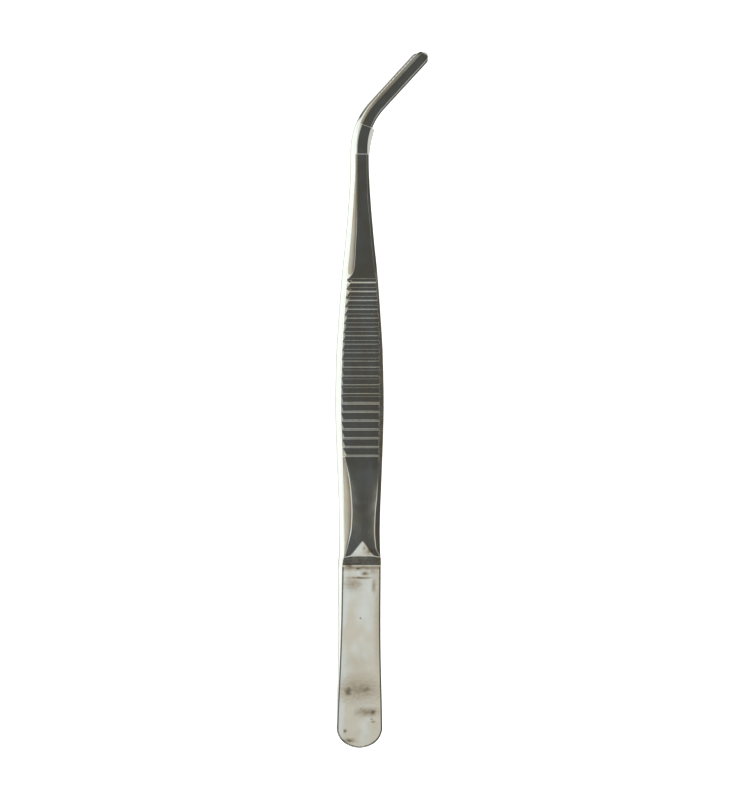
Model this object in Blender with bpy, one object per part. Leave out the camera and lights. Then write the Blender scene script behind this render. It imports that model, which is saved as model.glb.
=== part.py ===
"""Bent-tip crucible tongs: two sprung forged arms welded together at the heel.

The tongs are designed in millimetres in a heel frame: +Y runs from the heel to the
tips, +X is the side the tips bend to, and z = 0 is the plane halfway between the
arms. A root empty then sets the origin at the bottom centre of the whole tool, which
lies on the grip of its rear arm.
"""
import math

import bmesh
import bpy
from mathutils import Vector

MM = 0.001
COLLECTION = "crucible_tongs"
CUTTERS = "cutters"

# Whole tool
LENGTH = 160.0
HALF_HEIGHT = 9.2           # centre plane to the outer face of a grip
HEEL_HALF_WIDTH = 5.25      # the heel end is half an ellipse
HEEL_ROUND = 4.6
HEEL_TIP = 0.02             # first section, just inside the heel's rounded end
JAW_OUT = 15.41             # how far the tips reach to +X

# Centre line of an arm, seen from above
BEND_START = 137.5
BEND_RADIUS = 15.0
BEND_ANGLE = math.radians(42.6)
JAW_LENGTH = 16.23          # straight jaw after the bend
TIP_ROUND = 1.9
TIP_POWER = 2.2             # above 2 the rounding is blunter than an ellipse
TIP_FALL = 0.45             # how far the outer face drops at the tip

# Squeezing: each arm bends in its tail plate, about a line across it
HINGE_Y = 25.0
HINGE_GAP = 0.3
CLOSING_ANGLE = math.radians(2.35)
CLOSED_CLEARANCE = 0.05     # jaw face to the centre plane, fully squeezed
JAW_HEEL_Y = 148.0

# Shoulder: a steep riser at the end of the tail plate, then a ramp up to the ridge
RISER_FOOT = 42.3
RISER_TOP = 44.15
RAMP_END = 47.6

# Tail plates and the weld between them
HEEL_HALF_GAP = 0.4
WELD_LENGTH = 7.0
WELD_THICKNESS = 0.2
WELD_INSET = 0.3

# Grip
GROOVE_COUNT = 21
GROOVE_FIRST_Y = 67.0
GROOVE_PITCH = 2.02
GROOVE_RADIUS = 0.45
GROOVE_DEPTH = 0.32
GROOVE_CUTTER_LENGTH = 14.0
GRIP_START = 65.5
GRIP_END = 109.0

# Raised band left at the bend
BAND = (136.3, 143.0)
BAND_RISE = 0.15
BAND_RAMP = 0.12

# Jaw teeth
TOOTH_COUNT = 13
TOOTH_PITCH = 1.0
TOOTH_DEPTH = 0.22
TOOTH_FROM_TIP = 1.6
TOOTH_CUTTER_LENGTH = 6.0

# Sizes along an arm, as (distance from the heel, size)
WIDTH = ((4.6, 10.5), (11.0, 10.15), (20.0, 9.5), (29.5, 9.1), (42.0, 8.9), (44.6, 8.5),
         (50.0, 8.25), (56.0, 8.45), (65.0, 9.15), (79.0, 9.98), (90.0, 9.55), (99.0, 8.45),
         (108.0, 7.1), (117.0, 5.35), (126.0, 3.95), (134.0, 3.2), (145.0, 3.1), (164.0, 3.15))
LAND_WIDTH = ((4.6, 10.2), (11.0, 9.8), (29.5, 8.75), (42.0, 8.5), (44.6, 7.3), (48.5, 5.9),
              (53.0, 5.4), (58.0, 5.8), (62.0, 6.5), (65.5, 7.6), (79.0, 8.3), (94.0, 7.9),
              (107.9, 6.3), (109.5, 4.5), (115.0, 3.7), (126.0, 2.4), (136.0, 2.15), (164.0, 2.1))
SIDE_DROP = ((4.6, 0.15), (42.0, 0.2), (48.0, 1.25), (53.0, 1.4), (60.0, 1.2), (65.5, 0.95),
             (94.0, 0.9), (107.9, 0.8), (109.5, 1.25), (118.0, 1.0), (130.0, 0.6), (164.0, 0.45))
HOLLOW = ((43.5, 0.0), (48.0, 0.25), (58.0, 0.3), (65.5, 0.0), (107.9, 0.0), (110.0, 0.1),
          (126.0, 0.0))
INNER_HEIGHT = ((0.0, HEEL_HALF_GAP), (WELD_LENGTH, HEEL_HALF_GAP), (9.5, 0.56), (12.0, 0.86),
                (18.0, 1.67), (HINGE_Y, 2.65), (43.3, 5.22), (50.0, 5.75), (56.0, 6.02),
                (GRIP_START, 6.2), (GRIP_END, 6.2), (117.0, 5.85), (125.0, 5.45), (132.0, 5.22),
                (140.0, 5.13))
OUTER_HEIGHT = ((0.0, 0.8), (4.6, 1.2), (9.5, 1.7), (18.0, 2.77), (HINGE_Y, 3.75),
                (RISER_FOOT, 6.2), (RISER_TOP, 8.0), (RAMP_END, 8.65), (58.0, 9.03),
                (GRIP_START, HALF_HEIGHT), (GRIP_END, HALF_HEIGHT), (117.0, 8.70), (125.0, 8.08),
                (132.0, 7.72), (140.0, 7.43), (148.0, 7.25), (LENGTH, 7.04))
EDGE_CHAMFER = 0.2

# Loft spacing
STATION_STEP = 2.2
LEAST_STEP = 0.08
TIP_LAST_TURN = 80          # degrees round the tip to the last section

STEEL = {"base": (0.56, 0.55, 0.52), "roughness": 0.22, "metallic": 1.0}
WELD_STEEL = {"base": (0.50, 0.47, 0.42), "roughness": 0.35, "metallic": 1.0}


def curve_value(points, at):
    """Value at a station of the smooth curve through the points, which never overshoots."""
    if at <= points[0][0]:
        return points[0][1]
    if at >= points[-1][0]:
        return points[-1][1]
    steps = [b[0] - a[0] for a, b in zip(points, points[1:])]
    slopes = [(b[1] - a[1]) / h for a, b, h in zip(points, points[1:], steps)]
    tangents = [slopes[0]]
    for before, after in zip(slopes, slopes[1:]):
        rising = before * after > 0
        tangents.append(2 * before * after / (before + after) if rising else 0.0)
    tangents.append(slopes[-1])
    i = max(k for k in range(len(steps)) if points[k][0] <= at)
    h = steps[i]
    t = (at - points[i][0]) / h
    return (points[i][1] * (1 + 2 * t) * (1 - t) ** 2 + tangents[i] * h * t * (1 - t) ** 2
            + points[i + 1][1] * t * t * (3 - 2 * t) + tangents[i + 1] * h * t * t * (t - 1))


def hinge_height():
    """Middle of the tail plate on the bending line."""
    return (curve_value(INNER_HEIGHT, HINGE_Y) + curve_value(OUTER_HEIGHT, HINGE_Y)) / 2


def jaw_plane(y):
    """The jaw's inner face: flat against the other jaw once the arm has swung shut."""
    rise = (y - HINGE_Y) * math.tan(CLOSING_ANGLE)
    return hinge_height() + rise + (CLOSED_CLEARANCE - hinge_height()) / math.cos(CLOSING_ANGLE)


def inner_height(y):
    if y >= JAW_HEEL_Y:
        return jaw_plane(y)
    return curve_value(INNER_HEIGHT + ((JAW_HEEL_Y, jaw_plane(JAW_HEEL_Y)),), y)


def path(station):
    """Point and heading of the arm's centre line at a distance along it."""
    if station <= BEND_START:
        return 0.0, station, 0.0
    angle = min((station - BEND_START) / BEND_RADIUS, BEND_ANGLE)
    straight = max(station - BEND_START - BEND_RADIUS * BEND_ANGLE, 0.0)
    x = BEND_RADIUS * (1 - math.cos(angle)) + straight * math.sin(angle)
    y = BEND_START + BEND_RADIUS * math.sin(angle) + straight * math.cos(angle)
    return x, y, angle


PATH_END = BEND_START + BEND_RADIUS * BEND_ANGLE + JAW_LENGTH


def band_rise(station):
    """Height of the raised band at the bend, with short ramps at its two edges."""
    inside = min(station - BAND[0], BAND[1] - station)
    return BAND_RISE * min(max(inside / BAND_RAMP, 0.0), 1.0)


def end_factor(station):
    """Narrowing of the width where the heel and the tip are rounded."""
    if station < HEEL_ROUND:
        return math.sqrt(1 - (1 - station / HEEL_ROUND) ** 2)
    over = max(station - (PATH_END - TIP_ROUND), 0.0) / TIP_ROUND
    return (1 - over ** TIP_POWER) ** (1 / TIP_POWER)


def arm_section(station, side):
    """Ring of the arm's section, for the front arm (side 1) or the rear arm (side -1)."""
    x, y, heading = path(station)
    factor = end_factor(station)
    half = (curve_value(WIDTH, station) / 2 + band_rise(station)) * factor
    land = (curve_value(LAND_WIDTH, station) / 2 + band_rise(station)) * factor
    drop = curve_value(SIDE_DROP, station)
    hollow = curve_value(HOLLOW, station)
    inner = inner_height(y)
    tip_fall = TIP_FALL * (1 - factor) if station > BEND_START else 0.0
    top = curve_value(OUTER_HEIGHT, y) + band_rise(station) - tip_fall
    outline = [(half - EDGE_CHAMFER * factor, 0.0), (half, EDGE_CHAMFER * factor),
               (half, top - drop - inner), ((half + land) / 2, top - drop / 2 - hollow - inner),
               (land, top - inner)]
    outline += [(-across, up) for across, up in reversed(outline)]
    ring = []
    for across, up in outline:
        px = x + across * math.cos(heading)
        py = y - across * math.sin(heading)
        ring.append(Vector((px, py, side * (inner_height(py) + up))) * MM)
    return ring


def collection(name):
    made = bpy.data.collections.new(name)
    bpy.context.scene.collection.children.link(made)
    return made


def material(name, look):
    made = bpy.data.materials.new(name)
    made.use_nodes = True
    shader = made.node_tree.nodes["Principled BSDF"]
    shader.inputs["Base Color"].default_value = (*look["base"], 1.0)
    shader.inputs["Roughness"].default_value = look["roughness"]
    shader.inputs["Metallic"].default_value = look["metallic"]
    return made


def new_object(name, mesh, into, parent):
    made = bpy.data.objects.new(name, mesh)
    into.objects.link(made)
    made.parent = parent
    return made


def empty(name, place, into, parent=None):
    made = new_object(name, None, into, parent)
    made.location = Vector(place) * MM
    return made


def loft(name, rings, origin):
    """Closed mesh through the rings, with its points measured from the origin."""
    bm = bmesh.new()
    rows = [[bm.verts.new(p - origin) for p in ring] for ring in rings]
    count = len(rings[0])
    for low, high in zip(rows, rows[1:]):
        for i in range(count):
            j = (i + 1) % count
            bm.faces.new((low[i], low[j], high[j], high[i]))
    bm.faces.new(rows[0])
    bm.faces.new(rows[-1])
    bmesh.ops.recalc_face_normals(bm, faces=bm.faces)
    mesh = bpy.data.meshes.new(name)
    bm.to_mesh(mesh)
    bm.free()
    return mesh


def stations(start, end, extra=()):
    """Loft stations: evenly spread on the straight, closer at the ends and steps."""
    marks = {start, end, *(s for s in extra if start < s < end)}
    steps = math.ceil((end - start) / STATION_STEP)
    marks.update(start + (end - start) * i / steps for i in range(1, steps))
    kept = []
    for mark in sorted(marks):
        if not kept or mark - kept[-1] > LEAST_STEP or mark == end:
            kept.append(mark)
    return kept


def heel_marks():
    """Stations that follow the rounded heel."""
    return [HEEL_ROUND * (1 - math.cos(math.radians(a))) for a in range(12, 91, 13)]


def blade_marks():
    """Stations at the shoulder, the grip's ends, the raised band and the rounded tip."""
    marks = [RISER_FOOT, RISER_TOP, 46.0, RAMP_END, GRIP_START, 107.9, 108.7, 109.5]
    for edge, way in ((BAND[0], 1), (BAND[1], -1)):
        marks += [edge, edge + way * BAND_RAMP]
    marks += [PATH_END - TIP_ROUND * (1 - math.sin(math.radians(a))) for a in (0, 20, 40, 60)]
    return marks


def cut(target, cutter):
    modifier = target.modifiers.new(cutter.name, "BOOLEAN")
    modifier.operation = "DIFFERENCE"
    modifier.solver = "EXACT"
    modifier.object = cutter


def bar_cutter(name, bars, radius, sides, into, parent, origin):
    """One cutter made of straight bars, each given as its middle, direction and length."""
    bm = bmesh.new()
    for middle, direction, length in bars:
        made = bmesh.ops.create_cone(bm, cap_ends=True, segments=sides, radius1=radius * MM,
                                     radius2=radius * MM, depth=length * MM)
        turn = Vector((0, 0, 1)).rotation_difference(Vector(direction)).to_matrix()
        bmesh.ops.rotate(bm, verts=made["verts"], matrix=turn)
        bmesh.ops.translate(bm, verts=made["verts"], vec=Vector(middle) * MM - origin)
    mesh = bpy.data.meshes.new(name)
    bm.to_mesh(mesh)
    bm.free()
    cutter = new_object(name, mesh, into, parent)
    cutter.hide_render = True
    cutter.display_type = "WIRE"
    return cutter


def groove_bars(side):
    """The grip's cross grooves."""
    height = side * (HALF_HEIGHT + GROOVE_RADIUS - GROOVE_DEPTH)
    return [((0.0, GROOVE_FIRST_Y + i * GROOVE_PITCH, height), (1, 0, 0), GROOVE_CUTTER_LENGTH)
            for i in range(GROOVE_COUNT)]


def tooth_bars(side, radius):
    """Cross teeth on the jaw's inner face, square to the jaw."""
    bars = []
    for i in range(TOOTH_COUNT):
        x, y, heading = path(PATH_END - TOOTH_FROM_TIP - i * TOOTH_PITCH)
        across = Vector((math.cos(heading), -math.sin(heading), 0))
        slope = jaw_plane(y - math.sin(heading)) - jaw_plane(y)
        across.z = side * slope
        bars.append(((x, y, side * (jaw_plane(y) - radius + TOOTH_DEPTH)), across, TOOTH_CUTTER_LENGTH))
    return bars


def build_arm(label, side, steel, parts, cutters, frame):
    """One arm: its half of the tail plate on the heel, and its blade on the squeeze axis."""
    heel_end = HINGE_Y - HINGE_GAP / 2
    rings = [arm_section(s, side) for s in stations(HEEL_TIP, heel_end, heel_marks())]
    leaf = new_object(f"{label}_leaf", loft(f"{label}_leaf", rings, Vector()), parts, frame)
    leaf.data.materials.append(steel)

    hinge = Vector((0.0, HINGE_Y, side * hinge_height()))
    pivot = empty(f"{label}_squeeze_axis", hinge, parts, frame)
    blade_start = HINGE_Y + HINGE_GAP / 2
    last = PATH_END - TIP_ROUND * (1 - math.sin(math.radians(TIP_LAST_TURN)))
    rings = [arm_section(s, side) for s in stations(blade_start, last, blade_marks())]
    blade = new_object(f"{label}_blade", loft(f"{label}_blade", rings, hinge * MM), parts, pivot)
    blade.data.materials.append(steel)
    cut(blade, bar_cutter(f"{label}_grooves", groove_bars(side), GROOVE_RADIUS, 8, cutters,
                          pivot, hinge * MM))
    tooth = TOOTH_DEPTH * 2
    cut(blade, bar_cutter(f"{label}_teeth", tooth_bars(side, tooth), tooth, 6, cutters,
                          pivot, hinge * MM))


def build_weld(steel, parts, frame):
    """Weld metal between the two tail plates, inside the heel's outline."""
    outline = []
    for angle in range(-84, 85, 12):
        turn = math.radians(angle)
        across = (HEEL_HALF_WIDTH - WELD_INSET) * math.sin(turn)
        along = HEEL_ROUND - (HEEL_ROUND - WELD_INSET) * math.cos(turn)
        outline.append((across, along))
    end_half = curve_value(WIDTH, WELD_LENGTH) / 2 - WELD_INSET
    outline += [(end_half, WELD_LENGTH), (-end_half, WELD_LENGTH)]
    curve = bpy.data.curves.new("heel_weld", "CURVE")
    curve.dimensions = "2D"
    curve.fill_mode = "BOTH"
    curve.extrude = WELD_THICKNESS / 2 * MM
    spline = curve.splines.new("POLY")
    spline.points.add(len(outline) - 1)
    for point, (x, y) in zip(spline.points, outline):
        point.co = (x * MM, y * MM, 0.0, 1.0)
    spline.use_cyclic_u = True
    weld = new_object("heel_weld", curve, parts, frame)
    weld.data.materials.append(steel)


def build():
    for old in list(bpy.data.objects):
        bpy.data.objects.remove(old, do_unlink=True)
    parts = collection(COLLECTION)
    cutters = collection(CUTTERS)
    steel = material("ground_steel", STEEL)
    weld_steel = material("weld_steel", WELD_STEEL)
    centre_x = (JAW_OUT - HEEL_HALF_WIDTH) / 2
    frame = empty("tongs_frame", (-centre_x, -LENGTH / 2, HALF_HEIGHT), parts)
    build_weld(weld_steel, parts, frame)
    for label, side in (("front", 1), ("rear", -1)):
        build_arm(label, side, steel, parts, cutters, frame)


build()
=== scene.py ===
import math

import bpy
import numpy as np
from mathutils import Matrix, Vector


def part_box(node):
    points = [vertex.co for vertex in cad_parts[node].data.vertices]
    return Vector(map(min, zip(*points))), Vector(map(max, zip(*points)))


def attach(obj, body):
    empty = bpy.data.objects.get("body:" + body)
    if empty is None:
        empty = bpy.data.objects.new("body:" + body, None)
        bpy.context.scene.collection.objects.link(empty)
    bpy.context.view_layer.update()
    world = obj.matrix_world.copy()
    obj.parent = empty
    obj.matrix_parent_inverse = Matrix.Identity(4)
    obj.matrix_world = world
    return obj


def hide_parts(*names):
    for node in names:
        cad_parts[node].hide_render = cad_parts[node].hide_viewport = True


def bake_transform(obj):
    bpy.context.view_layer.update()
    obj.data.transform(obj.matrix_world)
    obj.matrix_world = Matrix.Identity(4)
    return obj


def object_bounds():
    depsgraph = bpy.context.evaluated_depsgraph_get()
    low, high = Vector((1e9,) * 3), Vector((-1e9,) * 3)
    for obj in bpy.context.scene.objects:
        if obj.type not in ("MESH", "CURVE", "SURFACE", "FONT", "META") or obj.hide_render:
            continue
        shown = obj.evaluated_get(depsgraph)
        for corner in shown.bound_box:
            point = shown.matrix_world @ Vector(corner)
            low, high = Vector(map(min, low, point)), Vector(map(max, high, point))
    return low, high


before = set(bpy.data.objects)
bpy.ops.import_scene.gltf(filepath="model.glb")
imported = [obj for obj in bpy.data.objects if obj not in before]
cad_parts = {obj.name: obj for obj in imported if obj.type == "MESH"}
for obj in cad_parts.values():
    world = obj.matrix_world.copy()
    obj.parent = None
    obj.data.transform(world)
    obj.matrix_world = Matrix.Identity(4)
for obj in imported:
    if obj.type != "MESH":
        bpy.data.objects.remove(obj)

CAD_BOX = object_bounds()
MM = 0.001

# ---------------------------------------------------------------------------
# The arm's design, in millimetres: the same driving sizes as the CAD, with finer edges.
# A station is a distance from the heel along the arm's centre line, and y is the distance
# from the heel straight toward the tips. Heights are measured from between the two arms.
# ---------------------------------------------------------------------------
HALF_HEIGHT = 9.2
HEEL_HALF_WIDTH = 5.25
HEEL_ROUND = 4.6
BEND_START = 137.5
BEND_RADIUS = 15.0
BEND_ANGLE = math.radians(42.6)
JAW_LENGTH = 16.18
PATH_END = BEND_START + BEND_RADIUS * BEND_ANGLE + JAW_LENGTH
TIP_ROUND = 1.9
TIP_POWER = 2.2
TIP_FALL = 0.45

# The bending tail plate, and the jaws that close face to face
HINGE_Y = 25.0
CLOSING_ANGLE = math.radians(2.35)
CLOSED_CLEARANCE = 0.05
JAW_HEEL_Y = 148.0

# Grip: cross grooves, with lands that lean toward the grip's middle
GROOVE_COUNT = 21
GROOVE_FIRST = 67.0
GROOVE_PITCH = 2.02
GROOVE_LAST = GROOVE_FIRST + GROOVE_PITCH * (GROOVE_COUNT - 1)
GROOVE_HALF_WIDTH = 0.38
GROOVE_DEPTH = 0.2
TIP_WIDENING = 0.3
CREST_WALL = 0.1
TIP_CREST_WALL, CREST_WALL_POWER = 0.25, 0.7
OTHER_WALL = 0.04
GENTLE_RISE = 0.13
SAW_LEAN = -0.5
GRIP_MIDDLE = 88.5
LAND_LEAN = 0.07
SCALLOP_POWER = 1.3
# Edge rounding of a groove's crest side and other side: at the middle, and more with lean
CREST_ROUND = (0.012, 0.07)
OTHER_ROUND = (0.006, 0.03)
# Distances from a groove's middle where its profile turns
GROOVE_MARKS = (0.0, 0.08, 0.16, 0.23, 0.27, 0.30, 0.32, 0.34, 0.36, 0.38, 0.40, 0.43, 0.46,
                0.49, 0.52, 0.55, 0.58, 0.61, 0.64, 0.66, 0.68, 0.70, 0.74)

# Shoulder: a steep riser above the tail plate, then a ramp up to the ridge
RISER_FOOT, RISER_TOP = 41.68, 44.15
RISER_FILLET = 0.3
RAMP_END, RAMP_ANGLE = 47.6, math.radians(10.5)
RAMP_REACH = 2.0
RIDGE_FOOT_HEIGHT = 8.72
RIDGE_STEP = 0.01
RISER_EDGE, CUT_EDGE = 0.08, 0.05
NO_CUT = 50.0

# Ground border of the tail plate
HEEL_BEVEL = 0.4
HEEL_BEVEL_SLOPE = 0.75
THINNEST = 0.1

# Cross teeth of the jaw's inner face
TOOTH_COUNT = 13
TOOTH_PITCH = 1.0
TOOTH_DEPTH = 0.2
TOOTH_HALF_WIDTH = 0.3
TOOTH_REACH = 0.25
TOOTH_FROM_TIP = 1.6

# Raised band round the bend
BAND = (136.3, 143.0)
BAND_RAMP = 0.12
BAND_RISE = 0.03
BAND_SLOPE = 0.42
BAND_NARROWER_LEFT, BAND_WIDER_RIGHT = 0.05, 0.1
BAND_SWELL = ((136.3, 0.15), (139.0, 0.45), (141.5, 0.6), (143.0, 0.5))

# Whole width, and how far the flat land reaches left and right of the centre line
WIDTH = ((4.6, 10.5), (11.0, 10.15), (20.0, 9.5), (29.5, 9.1), (42.0, 8.9), (44.6, 8.5),
         (50.0, 8.25), (56.0, 8.45), (65.0, 9.15), (79.0, 9.98), (90.0, 9.55), (99.0, 8.45),
         (108.0, 7.1), (117.0, 5.35), (126.0, 3.95), (134.0, 3.2), (145.0, 3.1), (164.0, 3.15))
LAND_LEFT = ((4.6, 4.85), (11.0, 4.68), (20.0, 4.35), (29.5, 4.15), (42.3, 4.05), (44.2, 3.95),
             (46.0, 3.5), (48.0, 3.05), (50.5, 2.6), (54.0, 2.45), (58.0, 2.65), (62.0, 3.1),
             (66.0, 3.85), (70.0, 4.5), (79.0, 4.87), (84.5, 4.8), (90.0, 4.66), (96.0, 4.33),
             (99.0, 4.1), (105.0, 3.6), (107.6, 3.4), (108.3, 2.8), (109.0, 2.3), (110.2, 1.95),
             (112.0, 1.78), (116.0, 1.55), (120.0, 1.3), (126.0, 1.22), (132.0, 1.15),
             (142.0, 1.0), (148.0, 0.88), (164.0, 0.85))
LAND_RIGHT = ((4.6, 4.85), (11.0, 4.68), (20.0, 4.35), (29.5, 4.15), (42.3, 4.05), (44.2, 3.9),
              (46.0, 3.2), (50.0, 2.85), (54.0, 2.95), (58.0, 3.3), (66.0, 3.6), (79.0, 3.7),
              (95.0, 3.55), (107.8, 2.9), (112.0, 2.45), (116.0, 2.0), (120.0, 1.75),
              (124.0, 1.4), (128.0, 1.15), (136.0, 1.1), (164.0, 1.1))
# Each land's left end is cut back toward its crest, by this much
SCALLOP = ((66.0, 0.5), (84.0, 0.4), (92.0, 0.5), (100.0, 0.8), (107.4, 1.25))

# Chamfers beside the land: slope, slope taken off on the right, edge rounding, and bulge
SIDE_SLOPE = ((4.6, HEEL_BEVEL_SLOPE), (42.3, HEEL_BEVEL_SLOPE), (44.0, 0.92), (58.0, 0.92),
              (66.0, 0.84), (107.0, 0.84), (110.0, 0.9), (140.0, 0.9), (148.0, 0.84),
              (164.0, 0.84))
RIGHT_SLOPE_LESS = ((44.0, 0.0), (46.0, 0.2), (57.0, 0.2), (65.0, 0.0), (108.0, 0.0),
                    (112.0, 0.17), (136.0, 0.17), (144.0, 0.0))
LEFT_FILLET = ((4.6, 0.04), (46.0, 0.06), (50.0, 0.2), (62.0, 0.2), (66.0, 0.04), (107.0, 0.04),
               (110.0, 0.08), (122.0, 0.07), (126.0, 0.03), (164.0, 0.03))
RIGHT_FILLET = ((4.6, 0.04), (43.0, 0.04), (48.0, 0.25), (58.0, 0.18), (65.0, 0.01),
                (107.0, 0.01), (112.0, 0.05), (142.0, 0.06), (145.0, 0.12), (164.0, 0.12))
BULGE = ((4.6, 0.0), (43.5, 0.0), (47.0, 0.04), (60.0, 0.04), (65.5, 0.0), (107.8, 0.0),
         (110.0, 0.05), (126.0, 0.03), (164.0, 0.0))

# Rise of the land's middle over its edges, and heights of the inner face and of the middle
CROWN = ((4.6, 0.03), (RISER_FOOT, 0.03), (RISER_FOOT + RIDGE_STEP, 0.86), (44.2, 0.84),
         (47.6, 0.66), (51.5, 0.5), (56.0, 0.34), (61.0, 0.14), (66.0, 0.02), (107.0, 0.02),
         (112.0, 0.04), (164.0, 0.04))
INNER_HEIGHT = ((0.0, 0.4), (7.0, 0.4), (9.5, 0.56), (12.0, 0.86), (18.0, 1.67),
                (HINGE_Y, 2.65), (43.3, 5.22), (50.0, 5.75), (56.0, 6.02), (65.5, 6.2),
                (109.0, 6.2), (117.0, 5.85), (125.0, 5.45), (132.0, 5.22), (140.0, 5.13))
OUTER_HEIGHT = ((0.0, 0.64), (4.6, 1.13), (9.5, 1.7), (18.0, 2.77), (HINGE_Y, 3.75),
                (RISER_FOOT - 0.3, 6.089), (RISER_FOOT, 6.132),
                (RISER_FOOT + RIDGE_STEP, RIDGE_FOOT_HEIGHT - 0.1),
                (RAMP_END, RIDGE_FOOT_HEIGHT), (58.0, 9.03), (65.5, HALF_HEIGHT),
                (109.0, HALF_HEIGHT), (117.0, 8.70), (125.0, 8.08), (132.0, 7.72),
                (140.0, 7.43), (148.0, 7.25), (160.0, 7.04))

# Rounded long edges beside the inner face: width and slope
INNER_EDGE = ((4.6, 0.2), (12.0, 0.4), (20.0, 0.6), (30.0, 0.85), (42.0, 1.1), (66.0, 1.3),
              (110.0, 1.3), (128.0, 1.2), (140.0, 1.1), (146.0, 0.75), (164.0, 0.6))
INNER_EDGE_SLOPE = ((4.6, 0.55), (42.0, 0.55), (60.0, 0.5), (142.0, 0.5), (147.0, 0.8),
                    (164.0, 0.85))

# Stretches of the arm and the spacing of its cross sections there
STATION_ZONES = ((HEEL_ROUND, 41.2, 0.6), (41.2, 49.0, 0.1), (49.0, 65.6, 0.35),
                 (108.8, 112.0, 0.2), (112.0, 136.0, 0.5), (136.0, 136.6, 0.04),
                 (136.6, 142.7, 0.35), (142.7, 143.2, 0.04), (143.2, 150.0, 0.3),
                 (150.0, PATH_END - TIP_ROUND, 0.1))
# Single marks past a groove's far side, and where the grip begins
LAND_MARKS = (0.85, 1.0, 1.15)
GRIP_START_MARKS = (65.6, 65.8, 66.0, 66.2)
# Shares of the way along each stretch of a section where its points lie
UNDER_SHARES = (0, 0.2, 0.4, 0.6, 0.8, 0.95)
WAIST_SHARES = (0.3, 0.7)
SIDE_SHARES = (0.1, 0.5, 0.9)
CHAMFER_SHARES = (0.12, 0.3, 0.5, 0.66, 0.74, 0.79, 0.84, 0.92)
LAND_SHARES = (0.06, 0.16, 0.27, 0.38, 0.49, 0.6, 0.7, 0.8, 0.9, 0.96)
# Edge rounding below the land, and limits that keep a thin or narrow section in order
LOW_ROUND, WAIST_ROUND, SIDE_ROUND = 0.3, 0.15, 0.04
HIGHEST_EDGE, LEAST_WALL, LEAST_FACTOR = 0.65, 0.12, 0.12

# The rear arm's texture coordinates start this far on, so that it has stains of its own and takes
# the cooler painted highlight tint past 170 mm
REAR_UV_SHIFT = 200.0

# The arm's axis, the heel and the level between the two arms, from the frame's boxes
LOW, HIGH = (Vector(corner) for corner in CAD_BOX)
AXIS_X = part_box("front_leaf")[0].x / MM + HEEL_HALF_WIDTH
HEEL_Y = LOW.y / MM
CENTRE_Z = (LOW.z + HIGH.z) / 2 / MM


def smooth_curve(points, at):
    """Values of the smooth curve through (station, value) points; it never overshoots them."""
    x, y = np.array(points, float).T
    at = np.clip(np.asarray(at, float), x[0], x[-1])
    step = np.diff(x)
    slope = np.diff(y) / step
    same = slope[:-1] * slope[1:] > 0
    total = np.where(same, slope[:-1] + slope[1:], 1.0)
    inner = np.where(same, 2 * slope[:-1] * slope[1:] / total, 0.0)
    tangent = np.concatenate(([slope[0]], inner, [slope[-1]]))
    i = np.clip(np.searchsorted(x, at, side="right") - 1, 0, len(step) - 1)
    t = (at - x[i]) / step[i]
    return (y[i] * (1 + 2 * t) * (1 - t) ** 2 + tangent[i] * step[i] * t * (1 - t) ** 2
            + y[i + 1] * t * t * (3 - 2 * t) + tangent[i + 1] * step[i] * t * t * (t - 1))


HINGE_HEIGHT = float(smooth_curve(INNER_HEIGHT, HINGE_Y) + smooth_curve(OUTER_HEIGHT, HINGE_Y)) / 2


def jaw_plane(y):
    """The jaw's inner face, which lies flat against the other one when the tongs are shut."""
    shut = (CLOSED_CLEARANCE - HINGE_HEIGHT) / math.cos(CLOSING_ANGLE)
    return HINGE_HEIGHT + (y - HINGE_Y) * math.tan(CLOSING_ANGLE) + shut


INNER_TO_JAW = INNER_HEIGHT + ((JAW_HEEL_Y, jaw_plane(JAW_HEEL_Y)),)


def inner_height(y):
    """Height of the arm's inner face."""
    return np.where(y >= JAW_HEEL_Y, jaw_plane(y), smooth_curve(INNER_TO_JAW, y))


def path(station):
    """Point and heading of the arm's centre line."""
    angle = np.clip((station - BEND_START) / BEND_RADIUS, 0.0, BEND_ANGLE)
    straight = np.maximum(station - BEND_START - BEND_RADIUS * BEND_ANGLE, 0.0)
    x = BEND_RADIUS * (1 - np.cos(angle)) + straight * np.sin(angle)
    y = np.minimum(station, BEND_START) + BEND_RADIUS * np.sin(angle) + straight * np.cos(angle)
    return x, y, angle


def soft_min(a, b, width):
    """Smaller of two heights, rounded where they cross."""
    mix = np.clip(0.5 + 0.5 * (b - a) / width, 0.0, 1.0)
    return b * (1 - mix) + a * mix - width * mix * (1 - mix)


def step_mask(station, low, high, ramp):
    """1 between low and high, falling to 0 over the ramp at each end."""
    inside = np.minimum(station - low, high - station)
    t = np.clip(inside / ramp, 0.0, 1.0)
    return t * t * (3 - 2 * t)


def end_factor(station, inset=0.0):
    """Narrowing of the section at the rounded heel and at the blunter tip."""
    heel = np.clip((HEEL_ROUND - station) / (HEEL_ROUND - inset), 0.0, 1.0)
    over = np.clip((station - (PATH_END - TIP_ROUND)) / TIP_ROUND, 0.0, 1.0)
    return np.sqrt(1 - heel ** 2) * (1 - over ** TIP_POWER) ** (1 / TIP_POWER)


def grip_lean(y):
    """-1 at the heel end of the grip, 0 at its middle, 1 at the tip end."""
    return np.clip((y - GRIP_MIDDLE) / (GROOVE_LAST - GRIP_MIDDLE), -1, 1)


def on_grip(y, beyond=0.0):
    """True between the first and the last groove, or a little beyond them."""
    return (y >= GROOVE_FIRST - beyond) & (y <= GROOVE_LAST + beyond)


def along_land(y):
    """Share of the way along a land from its low end to its crest, 0 to 1."""
    place = (y - GROOVE_FIRST) / GROOVE_PITCH % 1.0
    return np.where(grip_lean(y) > 0, place, 1 - place)


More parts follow.
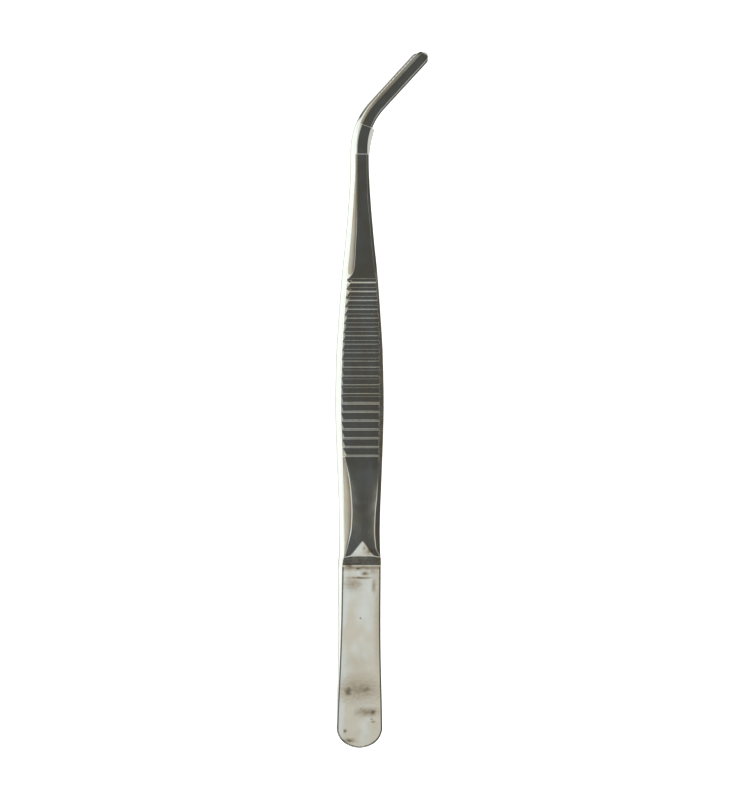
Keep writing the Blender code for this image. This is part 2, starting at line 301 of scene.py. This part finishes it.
def groove_height(y):
    """Cut height of the grip: each groove drops steeply from a crest and climbs back."""
    index = np.clip(np.round((y - GROOVE_FIRST) / GROOVE_PITCH), 0, GROOVE_COUNT - 1)
    lean = grip_lean(y)
    away = (y - (GROOVE_FIRST + index * GROOVE_PITCH)) * np.where(lean > 0, -1, 1)
    crest_wall = CREST_WALL + TIP_CREST_WALL * np.maximum(lean, 0.0) ** CREST_WALL_POWER
    widening = TIP_WIDENING * np.clip(3 * lean, 0.0, 1.0)
    steep = GROOVE_DEPTH * ((away - GROOVE_HALF_WIDTH - widening) / crest_wall)
    sudden = GROOVE_DEPTH * ((-away - GROOVE_HALF_WIDTH) / OTHER_WALL)
    gentle = GENTLE_RISE * (-away + GROOVE_HALF_WIDTH - CREST_WALL) - GROOVE_DEPTH
    climb = np.where(lean > SAW_LEAN, sudden, np.maximum(gentle, -GROOVE_DEPTH))
    wall = np.maximum(np.where(away > 0, steep, climb), -GROOVE_DEPTH)
    fall = -LAND_LEAN * np.abs(lean) * (1 - along_land(y)) * on_grip(y)
    crest_round, other_round = (least + more * np.abs(lean)
                                for least, more in (CREST_ROUND, OTHER_ROUND))
    cut = HALF_HEIGHT + soft_min(wall, fall, np.where(away > 0, crest_round, other_round))
    return np.where(on_grip(y, GROOVE_PITCH / 2), cut, NO_CUT)


def ramp_height(y):
    """Cut height of the shoulder: the riser, then the ramp that cuts a triangle in the ridge."""
    ramp = RIDGE_FOOT_HEIGHT - (RAMP_END - y) * math.tan(RAMP_ANGLE)
    foot = float(smooth_curve(OUTER_HEIGHT, RISER_FOOT))
    riser_top = RIDGE_FOOT_HEIGHT - (RAMP_END - RISER_TOP) * math.tan(RAMP_ANGLE)
    climbed = np.clip((y - RISER_FOOT) / (RISER_TOP - RISER_FOOT), 0.0, 2.0)
    curved = np.where(climbed < RISER_FILLET, climbed ** 2 / (2 * RISER_FILLET),
                      climbed - RISER_FILLET / 2) / (1 - RISER_FILLET / 2)
    riser = foot + curved * (riser_top - foot)
    cut = soft_min(ramp, riser, RISER_EDGE)
    return np.where((y < RISER_FOOT) | (y > RAMP_END + RAMP_REACH), NO_CUT, cut)


def tooth_depth(station):
    """Fine cross teeth of the jaw's inner face."""
    first = PATH_END - TOOTH_FROM_TIP
    index = np.clip(np.round((first - station) / TOOTH_PITCH), 0, TOOTH_COUNT - 1)
    away = np.abs(station - (first - index * TOOTH_PITCH))
    return TOOTH_DEPTH * np.clip(1 - away / TOOTH_HALF_WIDTH, 0, 1)


def stations():
    """Distances along the arm, dense where the surface has fine features."""
    heel = HEEL_ROUND * (1 - np.cos(np.radians(np.arange(3, 90, 2))))
    tip = PATH_END - TIP_ROUND + TIP_ROUND * np.sin(np.radians(np.arange(0, 87, 4)))
    centres = GROOVE_FIRST + GROOVE_PITCH * np.arange(GROOVE_COUNT)
    turns = np.concatenate([-np.array(GROOVE_MARKS[:0:-1]), GROOVE_MARKS, LAND_MARKS])
    marks = [heel, tip, (centres[:, None] + turns).ravel(), GRIP_START_MARKS]
    for start, end, step in STATION_ZONES:
        count = max(1, round((end - start) / step))
        marks.append(np.linspace(start, end, count, endpoint=False))
    return np.sort(np.concatenate(marks))


def rounded_corner(before, corner, after, radius, count):
    """Points round a corner, from the radius before it to the radius after it."""
    def toward(target):
        gap = target - corner
        length = np.linalg.norm(gap, axis=-1, keepdims=True)
        return corner + gap * np.minimum(radius[:, None] / np.maximum(length, 1e-6), 0.45)
    start, end = toward(before), toward(after)
    points = []
    for t in np.linspace(0, 1, count):
        points.append((1 - t) ** 2 * start + 2 * t * (1 - t) * corner + t * t * end)
    return points


def between(start, end, shares):
    """Points at these shares of the way from start to end."""
    return [start + (end - start) * share for share in shares]


def half_outline(half, land, top, slope, bulge, fillet, section):
    """One half of the section, from under the middle round to the top middle."""
    factor = section["factor"]
    zero = np.zeros_like(half)
    edge_in = section["inner_edge"] * factor
    edge_up = np.minimum(edge_in * section["inner_slope"], HIGHEST_EDGE * top)
    side = top - section["crown"] - np.minimum((half - land) * slope, section["most_drop"])
    side = np.maximum(side, edge_up + LEAST_WALL * top)
    under, low, waist, shoulder, edge, crest = (np.stack(point, -1) for point in (
        (zero, zero), (half - edge_in, zero), (half, edge_up), (half, side),
        (land, top - section["crown"]), (zero, top)))
    low_turn = rounded_corner(under, low, waist, LOW_ROUND * factor, 4)
    waist_turn = rounded_corner(low, waist, shoulder, WAIST_ROUND * factor, 5)
    side_turn = rounded_corner(waist, shoulder, edge, SIDE_ROUND * factor, 4)
    land_turn = rounded_corner(shoulder, edge, crest, fillet * factor, 7)
    chamfer = between(side_turn[-1], land_turn[0], CHAMFER_SHARES)
    for share, point in zip(CHAMFER_SHARES, chamfer):
        point[:, 1] += 4 * share * (1 - share) * bulge
    return (between(under, low_turn[0], UNDER_SHARES) + low_turn
            + between(low_turn[-1], waist_turn[0], WAIST_SHARES) + waist_turn
            + between(waist_turn[-1], side_turn[0], SIDE_SHARES) + side_turn
            + chamfer + land_turn + between(land_turn[-1], crest, LAND_SHARES) + [crest])


def arm_rings(station):
    """Points of every cross section: offset across the arm and height over the inner face."""
    y = path(station)[1]
    factor = end_factor(station)
    band = step_mask(station, *BAND, BAND_RAMP)
    blunt = np.where(station > BEND_START, TIP_FALL * (1 - factor), 0.0)
    heel_fall = HEEL_BEVEL_SLOPE * np.maximum(HEEL_BEVEL - station, 0.0)
    top = smooth_curve(OUTER_HEIGHT, y) + BAND_RISE * band - blunt - heel_fall - inner_height(y)
    top = np.maximum(top, THINNEST)
    most_drop = HEEL_BEVEL * HEEL_BEVEL_SLOPE - heel_fall
    section = {
        "factor": np.maximum(factor, LEAST_FACTOR),
        "crown": smooth_curve(CROWN, station) * factor,
        "inner_edge": smooth_curve(INNER_EDGE, station),
        "inner_slope": smooth_curve(INNER_EDGE_SLOPE, station),
        "most_drop": np.where(station < RISER_FOOT, most_drop, HALF_HEIGHT),
    }
    slope = smooth_curve(SIDE_SLOPE, station) * (1 - band) + BAND_SLOPE * band
    right_slope = slope - smooth_curve(RIGHT_SLOPE_LESS, station) * (1 - band)
    bulge = smooth_curve(BULGE, station) * factor
    half = smooth_curve(WIDTH, station) / 2
    right_half = half + smooth_curve(BAND_SWELL, station) * band
    scallop = smooth_curve(SCALLOP, y) * along_land(y) ** SCALLOP_POWER * on_grip(y)
    left_land = smooth_curve(LAND_LEFT, station) - BAND_NARROWER_LEFT * band - scallop
    right_land = smooth_curve(LAND_RIGHT, station) + BAND_WIDER_RIGHT * band
    land_factor = end_factor(station, HEEL_BEVEL)
    right = half_outline(right_half * factor, right_land * land_factor, top, right_slope, 0.0,
                         smooth_curve(RIGHT_FILLET, station), section)
    left = half_outline(half * factor, left_land * land_factor, top, slope, bulge,
                        smooth_curve(LEFT_FILLET, station), section)
    right, left = np.stack(right, 1), np.stack(left[-2:0:-1], 1)
    ring = np.concatenate([right, left * (-1, 1)], 1)
    return ring[..., 0], ring[..., 1]


def arm_points(station, side, across, up):
    """World places of the section points, with the grooves, the shoulder and the teeth cut."""
    x, y, heading = path(station)
    px = x[:, None] + across * np.cos(heading)[:, None]
    py = y[:, None] - across * np.sin(heading)[:, None]
    height = np.minimum(inner_height(py) + up, groove_height(py))
    height = soft_min(height, ramp_height(py), CUT_EDGE)
    height += tooth_depth(station)[:, None] * np.clip(1 - up / TOOTH_REACH, 0, 1)
    return np.stack([AXIS_X + px, HEEL_Y + py, CENTRE_Z + side * height], -1) * MM


def tube_mesh(name, points, flip):
    """A closed mesh through rings of points, with its two ends capped."""
    rows, count = points.shape[:2]
    index = np.arange(rows * count).reshape(rows, count)
    a, b = index[:-1], index[1:]
    quads = np.stack([a, np.roll(a, -1, 1), np.roll(b, -1, 1), b], -1).reshape(-1, 4).tolist()
    faces = quads + [index[0][::-1].tolist(), index[-1].tolist()]
    if flip:
        faces = [face[::-1] for face in faces]
    mesh = bpy.data.meshes.new(name)
    mesh.from_pydata(points.reshape(-1, 3).tolist(), [], faces)
    mesh.shade_smooth()
    return mesh


def add_coordinates(mesh, along, across):
    """Texture coordinates in metres: along the arm, and across it."""
    uv = np.stack([np.broadcast_to(along[:, None], across.shape), across], -1).reshape(-1, 2)
    layer = mesh.uv_layers.new(name="along_across")
    loops = np.zeros(len(mesh.loops), int)
    mesh.loops.foreach_get("vertex_index", loops)
    layer.data.foreach_set("uv", (uv * MM)[loops].ravel())


def link_object(name, data):
    """A new object in the scene."""
    made = bpy.data.objects.new(name, data)
    bpy.context.scene.collection.objects.link(made)
    return made


def arm_object(name, side):
    """The whole arm as one closed mesh; side is 1 for the front arm and -1 for the rear."""
    station = stations()
    across, up = arm_rings(station)
    mesh = tube_mesh(name, arm_points(station, side, across, up), flip=side > 0)
    add_coordinates(mesh, station + (0.0 if side > 0 else REAR_UV_SHIFT), across)
    mesh.validate()
    return link_object(name, mesh)


# ---------------------------------------------------------------------------
# Materials
# ---------------------------------------------------------------------------
class Nodes:
    """Short ways to add the shader nodes used here."""

    def __init__(self, tree):
        self.nodes, self.links = tree.nodes, tree.links

    def put(self, value, socket):
        if isinstance(value, bpy.types.NodeSocket):
            self.links.new(value, socket)
        else:
            socket.default_value = value

    def math(self, kind, *values):
        made = self.nodes.new("ShaderNodeMath")
        made.operation = kind
        for value, socket in zip(values, made.inputs):
            self.put(value, socket)
        return made.outputs["Value"]

    def smooth(self, value, low, high, to_low=0.0, to_high=1.0):
        made = self.nodes.new("ShaderNodeMapRange")
        made.interpolation_type = "SMOOTHSTEP"
        for name, number in (("From Min", low), ("From Max", high),
                             ("To Min", to_low), ("To Max", to_high)):
            made.inputs[name].default_value = number
        self.put(value, made.inputs["Value"])
        return made.outputs["Result"]

    def mix(self, factor, a, b):
        made = self.nodes.new("ShaderNodeMix")
        made.data_type = "RGBA"
        self.put(factor, made.inputs["Factor"])
        for value, socket in ((a, made.inputs[6]), (b, made.inputs[7])):
            self.put((*value, 1.0) if isinstance(value, tuple) else value, socket)
        return made.outputs[2]

    def noise(self, vector, scale, detail=3.0, stretch=(1.0, 1.0, 1.0), roughness=0.55):
        mapping = self.nodes.new("ShaderNodeMapping")
        mapping.inputs["Scale"].default_value = [scale * part for part in stretch]
        self.links.new(vector, mapping.inputs["Vector"])
        texture = self.nodes.new("ShaderNodeTexNoise")
        texture.inputs["Scale"].default_value = 1.0
        texture.inputs["Detail"].default_value = detail
        texture.inputs["Roughness"].default_value = roughness
        self.links.new(mapping.outputs["Vector"], texture.inputs["Vector"])
        return texture.outputs["Fac"]


# Smudges on the tail plate, and painted shade in the two bands across the whole width at 41.5 and
# 42.9 mm, along the riser's foot and face: station, offset, half length, half width in mm, and
# strength
SMUDGES_AND_RISER_SHADE = ((42.9, 0.0, 1.3, 12.0, 0.5), (45.3, 1.5, 1.1, 1.0, 0.7), (46.0, 0.5, 0.7, 0.4, 0.6),
           (41.5, 0.0, 0.6, 12.0, 0.75), (41.9, -3.0, 0.7, 1.2, 0.85), (41.2, 2.6, 1.3, 1.1, 0.6),
           (41.4, -0.9, 0.4, 1.0, 0.95), (40.2, 0.8, 0.5, 0.8, 0.95), (39.2, -0.4, 0.3, 2.8, 0.85),
           (37.8, -1.9, 1.4, 2.0, 0.62), (37.4, 2.9, 1.8, 0.5, 0.65), (30.0, 4.0, 11.0, 0.7, 0.35),
           (29.9, -0.1, 0.2, 0.2, 0.9), (19.5, -1.0, 3.2, 3.0, 0.15), (15.4, -0.3, 2.2, 4.0, 0.32),
           (13.6, -0.3, 2.6, 4.6, 0.66), (13.1, -2.7, 1.3, 1.2, 0.9), (13.5, 1.4, 1.0, 1.8, 0.8),
           (8.3, 1.6, 1.0, 2.4, 0.75), (8.3, 3.0, 0.8, 0.9, 0.9), (6.0, 3.1, 0.25, 0.5, 0.7),
           (6.6, 2.7, 0.15, 0.2, 0.9), (3.9, -3.4, 0.4, 0.35, 0.95), (1.7, -2.4, 0.5, 1.2, 0.9),
           (9.0, 0.2, 0.2, 0.2, 0.9))
# A smudge or painted shade band fades between these distances from its middle, in half sizes, and
# its rim wobbles
SMUDGE_AND_SHADE_RIM, SMUDGE_AND_SHADE_CORE, RIM_WOBBLE = 2.7, 0.6, 1.6
# Brown film and dark stain colours, also used for the painted shade at the riser
FILM_AND_SHADE, STAIN_AND_SHADE = (0.34, 0.295, 0.215), (0.085, 0.075, 0.06)
FILM_AND_SHADE_GAIN, SMUDGE_AND_SHADE_ROUGHNESS = 1.5, 0.05
COOL_STEEL, WARM_STEEL = (0.585, 0.605, 0.565), (0.535, 0.508, 0.425)
SMOOTHEST, ROUGHEST = 0.11, 0.15
# Noise patterns, in repeats for each metre
TINT_SCALE, WOBBLE_SCALE, CLOUD_SCALE, GRAIN_SCALE, HEAT_SCALE = 130.0, 1500.0, 420.0, 5200.0, 900.0
GRAIN_STRENGTH, GRAIN_HEIGHT = 0.12, 0.00002
DULL_WELD, BRIGHT_WELD = (0.42, 0.37, 0.30), (0.56, 0.55, 0.52)
# Shifts of the steel's tint by place, most of them painted light: painted shade makes it warmer and
# darker toward the heel and the right edge, a painted highlight makes it cooler and lighter on the
# left edge and over the whole rear arm, and it turns a step warmer past the riser: direction, start
# and end in mm, and change
TINT_AND_PAINTED_LIGHT_SHIFTS = (("along", 34.0, 24.0, 0.2), ("along", 42.0, 44.0, 0.1), ("along", 170.0, 190.0, -0.4),
          ("across", 2.2, 4.0, 0.2), ("across", -2.8, -4.2, -0.2))


def smudge_and_shade_mask(make, along_arm, across_arm, wobble):
    """How stained the plate is at each point, 0 to 1, with painted shade in the riser's two bands.
    """
    total = None
    for station, offset, length, width, strength in SMUDGES_AND_RISER_SHADE:
        along = make.math("DIVIDE", make.math("SUBTRACT", along_arm, station * MM),
                          length * MM)
        across = make.math("DIVIDE", make.math("SUBTRACT", across_arm, offset * MM),
                           width * MM)
        away = make.math("SQRT", make.math("ADD", make.math("MULTIPLY", along, along),
                                           make.math("MULTIPLY", across, across)))
        away = make.math("ADD", away, make.math("MULTIPLY", wobble, RIM_WOBBLE))
        mask = make.smooth(away, SMUDGE_AND_SHADE_RIM, SMUDGE_AND_SHADE_CORE, 0.0, strength)
        total = mask if total is None else make.math("MAXIMUM", total, mask)
    return total


def metal(name):
    """A new metal material, the short ways to add its nodes, and its shader."""
    made = bpy.data.materials.new(name)
    made.use_nodes = True
    make = Nodes(made.node_tree)
    shader = make.nodes["Principled BSDF"]
    shader.inputs["Metallic"].default_value = 1.0
    return made, make, shader


def steel_tint(make, place, along_arm, across_arm):
    """Steel that varies at random between a cooler and a warmer grey, and is shifted by place with
    painted shade and highlight.
    """
    warm = make.noise(place, TINT_SCALE, 2.5, (0.8, 1.3, 1.0))
    # Painted shade warms and darkens the steel, and painted highlight cools and lightens it, by
    # place on the arm
    for direction, start, end, change in TINT_AND_PAINTED_LIGHT_SHIFTS:
        position = along_arm if direction == "along" else across_arm
        shift = make.smooth(position, start * MM, end * MM, 0.0, change)
        warm = make.math("ADD", warm, shift)
    return make.mix(make.smooth(warm, 0.45, 0.75), COOL_STEEL, WARM_STEEL)


def steel_material(name):
    """Ground and polished stainless steel with handling marks, a stained tail plate, and painted
    shade across the riser.
    """
    made, make, shader = metal(name)
    uv = make.nodes.new("ShaderNodeUVMap")
    uv.uv_map = "along_across"
    place = uv.outputs["UV"]
    split = make.nodes.new("ShaderNodeSeparateXYZ")
    make.links.new(place, split.inputs["Vector"])
    along_arm, across_arm = split.outputs["X"], split.outputs["Y"]

    tint = steel_tint(make, place, along_arm, across_arm)
    wobble = make.noise(place, WOBBLE_SCALE, 4.0, (1.0, 0.6, 1.0), 0.7)
    smudges_and_shade = smudge_and_shade_mask(make, along_arm, across_arm, wobble)
    # Stains, and the painted shade at the riser, turn the steel toward brown film, then dark stain
    colour = make.mix(make.math("MULTIPLY", smudges_and_shade, FILM_AND_SHADE_GAIN), tint, FILM_AND_SHADE)
    colour = make.mix(make.smooth(smudges_and_shade, 0.5, 1.0), colour, STAIN_AND_SHADE)
    make.links.new(colour, shader.inputs["Base Color"])

    clouds = make.noise(place, CLOUD_SCALE, 3.0)
    rough = make.math("ADD", make.smooth(clouds, 0.35, 0.7, SMOOTHEST, ROUGHEST),
                      make.math("MULTIPLY", smudges_and_shade, SMUDGE_AND_SHADE_ROUGHNESS))
    make.links.new(rough, shader.inputs["Roughness"])
    grain = make.noise(place, GRAIN_SCALE, 2.0, (1.0, 0.35, 1.0))
    bump = make.nodes.new("ShaderNodeBump")
    bump.inputs["Strength"].default_value = GRAIN_STRENGTH
    bump.inputs["Distance"].default_value = GRAIN_HEIGHT
    make.links.new(grain, bump.inputs["Height"])
    make.links.new(bump.outputs["Normal"], shader.inputs["Normal"])
    return made


def weld_material():
    """Dull weld metal with heat colours."""
    made, make, shader = metal("weld_metal")
    place = make.nodes.new("ShaderNodeTexCoord").outputs["Object"]
    heat = make.noise(place, HEAT_SCALE, 4.0)
    colour = make.mix(make.smooth(heat, 0.35, 0.65), DULL_WELD, BRIGHT_WELD)
    make.links.new(colour, shader.inputs["Base Color"])
    make.links.new(make.smooth(heat, 0.3, 0.7, 0.45, 0.28), shader.inputs["Roughness"])
    return made


def floor_material():
    """A white table that glows a little, so that it fades into the background."""
    made = bpy.data.materials.new("light_table")
    made.use_nodes = True
    shader = made.node_tree.nodes["Principled BSDF"]
    shader.inputs["Base Color"].default_value = (0.9, 0.9, 0.9, 1)
    shader.inputs["Roughness"].default_value = 0.9
    shader.inputs["Emission Color"].default_value = (1, 1, 1, 1)
    shader.inputs["Emission Strength"].default_value = 0.9
    return made


# ---------------------------------------------------------------------------
# Stage, light and camera
# ---------------------------------------------------------------------------
def build_floor():
    """The table, just under the rear grip."""
    mesh = bpy.data.meshes.new("floor")
    reach, gap = 4.0, 0.00005
    height = LOW.z - gap
    corners = [(-reach, -reach), (reach, -reach), (reach, reach), (-reach, reach)]
    mesh.from_pydata([(x, y, height) for x, y in corners], [], [(0, 1, 2, 3)])
    mesh.materials.append(floor_material())
    floor = link_object("floor", mesh)


# The surroundings, as directions on the unit sphere: a dark patch overhead, a bright ring
# round it, which is brighter on the left, and a warm glow low on the left
AMBIENT = 0.115
PATCH_MIDDLE, PATCH_REACH = (0.08, 0.135), (0.52, 0.285)
PATCH_POWER = 4.0
RING_START, RING_FULL, RING_LIGHT = 1.03, 1.20, 0.9
RING_LOW, RING_HIGH = 0.40, 0.58
LEFT_START, LEFT_FULL, LEFT_EXTRA = -0.62, -0.73, 0.8
GLOW_START, GLOW_FULL, GLOW_LIGHT = -0.45, -0.75, 0.75
GLOW_TOP, GLOW_BOTTOM = 0.42, 0.08
AMBIENT_COLOUR = (0.99, 1.0, 1.0)
GLOW_COLOUR = (1.0, 0.9, 0.75)


def ring_light(make, x, y, high):
    """The bright ring round the dark patch."""
    powers = []
    for part, middle, reach in zip((x, y), PATCH_MIDDLE, PATCH_REACH):
        away = make.math("DIVIDE", make.math("SUBTRACT", part, middle), reach)
        powers.append(make.math("POWER", make.math("ABSOLUTE", away), PATCH_POWER))
    away = make.math("POWER", make.math("ADD", *powers), 1 / PATCH_POWER)
    ring = make.math("MULTIPLY", make.smooth(away, RING_START, RING_FULL, 0.0, RING_LIGHT), high)
    left = make.smooth(x, LEFT_START, LEFT_FULL, 1.0, 1.0 + LEFT_EXTRA)
    return make.math("MULTIPLY", ring, left)


def build_world():
    """Soft studio surroundings, and plain white behind the object."""
    world = bpy.data.worlds.new("studio")
    bpy.context.scene.world = world
    world.use_nodes = True
    make = Nodes(world.node_tree)
    background = make.nodes["Background"]
    place = make.nodes.new("ShaderNodeTexCoord").outputs["Generated"]
    split = make.nodes.new("ShaderNodeSeparateXYZ")
    make.links.new(place, split.inputs["Vector"])
    x, y, z = (split.outputs[name] for name in "XYZ")

    high = make.smooth(z, RING_LOW, RING_HIGH)
    cool = make.math("ADD", AMBIENT, ring_light(make, x, y, high))
    glow = make.math("MULTIPLY", make.smooth(x, GLOW_START, GLOW_FULL),
                     make.smooth(z, GLOW_TOP, GLOW_BOTTOM, 0.0, GLOW_LIGHT))
    glow = make.math("MULTIPLY", glow, make.math("SUBTRACT", 1.0, high))
    tint = make.nodes.new("ShaderNodeCombineColor")
    for name, share, warmth in zip(("Red", "Green", "Blue"), AMBIENT_COLOUR, GLOW_COLOUR):
        part = make.math("ADD", make.math("MULTIPLY", cool, share),
                         make.math("MULTIPLY", glow, warmth))
        make.put(part, tint.inputs[name])
    seen = make.nodes.new("ShaderNodeLightPath").outputs["Is Camera Ray"]
    make.put(make.mix(seen, tint.outputs["Color"], (1.0, 1.0, 1.0)), background.inputs["Color"])


def build_camera():
    """Looks down on the front arm, leaning a little to the left side."""
    lean = math.radians(5.0)
    distance, span, sensor = 2.4, 0.18336, 36.0
    aside, below_top = 2.72, 0.0015
    target = Vector((AXIS_X + aside, 0.0, 0.0)) * MM
    target.z = HIGH.z - below_top
    away = Vector((-math.sin(lean), 0.0, math.cos(lean)))
    right = Vector((math.cos(lean), 0.0, math.sin(lean)))
    data = bpy.data.cameras.new("camera")
    data.sensor_width = sensor
    data.lens = sensor * distance / span
    data.clip_end = 50.0
    camera = link_object("camera", data)
    turn = Matrix((right, Vector((0, 1, 0)), away)).transposed()
    camera.matrix_world = Matrix.Translation(target + away * distance) @ turn.to_4x4()
    bpy.context.scene.camera = camera


def build_arms():
    """Both arms, each one closed mesh from the heel to its tip."""
    steel = steel_material("ground_steel")
    for label, side in (("front", 1), ("rear", -1)):
        arm = arm_object(f"{label}_arm_forging", side)
        arm.data.materials.append(steel)
        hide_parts(f"{label}_leaf", f"{label}_blade")
        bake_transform(arm)


# The weld bead: how far it lies inside the plates' rim, half the seam's height, how far it
# reaches from the heel, and the size and spacing of its ripples, in millimetres
WELD_INSET, WELD_HALF_GAP, WELD_REACH = 0.2, 0.4, 7.0
WELD_RIPPLE, WELD_PITCH = 0.07, 0.8
WELD_BACK_POINTS = 24


def weld_rim():
    """Outline of the seam between the two tail plates, closed across its inner end."""
    turn = np.radians(np.arange(0, 90, 3))
    station = np.concatenate([HEEL_ROUND * (1 - np.cos(turn)),
                              np.arange(HEEL_ROUND, WELD_REACH, 0.25)])
    wide = smooth_curve(WIDTH, station) / 2 * end_factor(station)
    right = np.stack([wide, station], -1)
    rim = np.concatenate([right[::-1], right[1:] * (-1, 1)])
    back = np.linspace(rim[-1, 0], rim[0, 0], WELD_BACK_POINTS)[1:-1]
    return np.concatenate([rim, np.stack([back, np.full_like(back, rim[0, 1])], -1)])


def weld_points():
    """Rings of points up the rounded, rippled side of the weld bead."""
    rim = weld_rim()
    following = np.roll(rim, -1, 0) - np.roll(rim, 1, 0)
    inward = np.stack([following[:, 1], -following[:, 0]], -1)
    inward /= np.linalg.norm(following, axis=1, keepdims=True)
    travel = np.cumsum(np.linalg.norm(rim - np.roll(rim, 1, 0), axis=1))
    bulge = WELD_RIPPLE * np.abs(np.sin(math.pi * travel / WELD_PITCH))
    rings = []
    for angle in np.radians(np.arange(-90, 91, 15)):
        depth = WELD_INSET + WELD_HALF_GAP * (1 - math.cos(angle)) + bulge * math.cos(angle)
        level = np.full((len(rim), 1), WELD_HALF_GAP * math.sin(angle))
        rings.append(np.concatenate([rim + inward * depth[:, None], level], 1))
    return (np.stack(rings, 0) + (AXIS_X, HEEL_Y, CENTRE_Z)) * MM


def build_weld():
    """The weld bead that fills the seam between the two plates at the heel."""
    mesh = tube_mesh("heel_weld_bead", weld_points(), flip=True)
    mesh.validate()
    bead = link_object("heel_weld_bead", mesh)
    bead.data.materials.append(weld_material())
    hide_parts("heel_weld")
    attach(bead, "heel")


bpy.context.scene.view_settings.view_transform = "Standard"
build_arms()
build_weld()
build_floor()
build_world()
build_camera()
